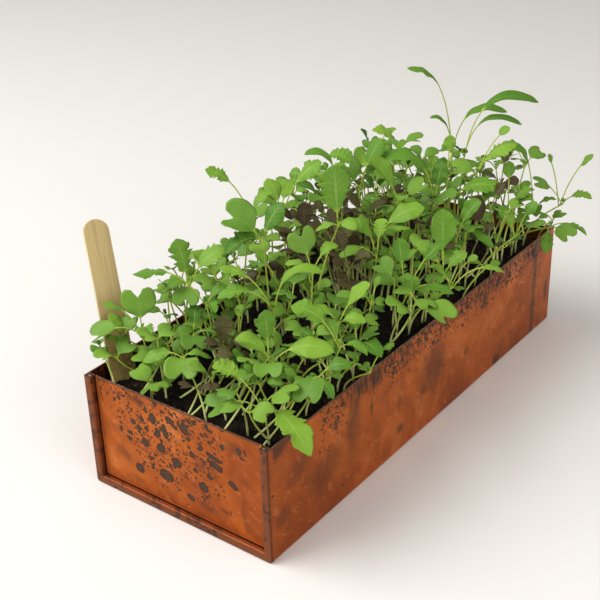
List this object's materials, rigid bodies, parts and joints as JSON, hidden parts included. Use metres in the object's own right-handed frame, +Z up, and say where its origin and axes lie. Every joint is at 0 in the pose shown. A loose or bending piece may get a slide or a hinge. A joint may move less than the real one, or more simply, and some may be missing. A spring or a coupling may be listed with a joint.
{
  "type": "planted seed tray",
  "caption": "Long folded-sheet seed tray with beaded ends, filled with compost, holding a crop of salad seedlings and a slip-out wooden plant label.",
  "frame": {"origin": "centre of the tray's underside, on the surface that it stands on", "axes": "+X across the tray, +Y along it from the end by the plant label to the other end, +Z up"},
  "size_m": [0.2227, 0.3803, 0.2186],
  "materials": {
    "copper": "satin",
    "tinned_wire": "satin",
    "compost": "matte",
    "label_wood": "matte",
    "fresh_leaf": "satin",
    "deep_leaf": "satin",
    "purple_leaf": "satin"
  },
  "bodies": {
    "tray": {"bead_wire_front": "tinned_wire", "bead_wire_rear": "tinned_wire", "compost": "compost", "end_panel_front": "copper", "end_panel_rear": "copper", "seedling_01": "fresh_leaf", "seedling_02": "fresh_leaf", "seedling_03": "deep_leaf", "seedling_04": "fresh_leaf", "seedling_05": "fresh_leaf", "seedling_06": "fresh_leaf", "seedling_07": "deep_leaf", "seedling_08": "purple_leaf", "seedling_09": "fresh_leaf", "seedling_10": "deep_leaf", "seedling_11": "fresh_leaf", "seedling_12": "fresh_leaf", "seedling_13": "fresh_leaf", "seedling_14": "deep_leaf", "seedling_15": "fresh_leaf", "seedling_16": "deep_leaf", "seedling_17": "fresh_leaf", "seedling_18": "fresh_leaf", "seedling_19": "purple_leaf", "seedling_20": "purple_leaf", "seedling_21": "purple_leaf", "seedling_22": "fresh_leaf", "seedling_23": "fresh_leaf", "seedling_24": "fresh_leaf", "seedling_25": "deep_leaf", "seedling_26": "deep_leaf", "seedling_27": "deep_leaf", "seedling_28": "fresh_leaf", "seedling_29": "fresh_leaf", "seedling_30": "fresh_leaf", "seedling_31": "deep_leaf", "seedling_32": "fresh_leaf", "seedling_33": "fresh_leaf", "seedling_34": "fresh_leaf", "seedling_35": "deep_leaf", "seedling_36": "deep_leaf", "seedling_37": "fresh_leaf", "seedling_38": "deep_leaf", "seedling_39": "fresh_leaf", "seedling_40": "fresh_leaf", "seedling_41": "fresh_leaf", "seedling_42": "fresh_leaf", "seedling_43": "fresh_leaf", "seedling_44": "purple_leaf", "seedling_45": "purple_leaf", "seedling_46": "purple_leaf", "seedling_47": "purple_leaf", "seedling_48": "deep_leaf", "seedling_49": "deep_leaf", "seedling_50": "fresh_leaf", "seedling_51": "deep_leaf", "seedling_52": "fresh_leaf", "seedling_53": "fresh_leaf", "trough": "copper"},
    "label": {"plant_label": "label_wood"}
  },
  "joints": [
    {"name": "label_pull", "type": "slide", "parent": "tray", "child": "label", "axis": [-0.3711, 0.2416, 0.8966], "range_m": [0, 0.045]}
  ]
}
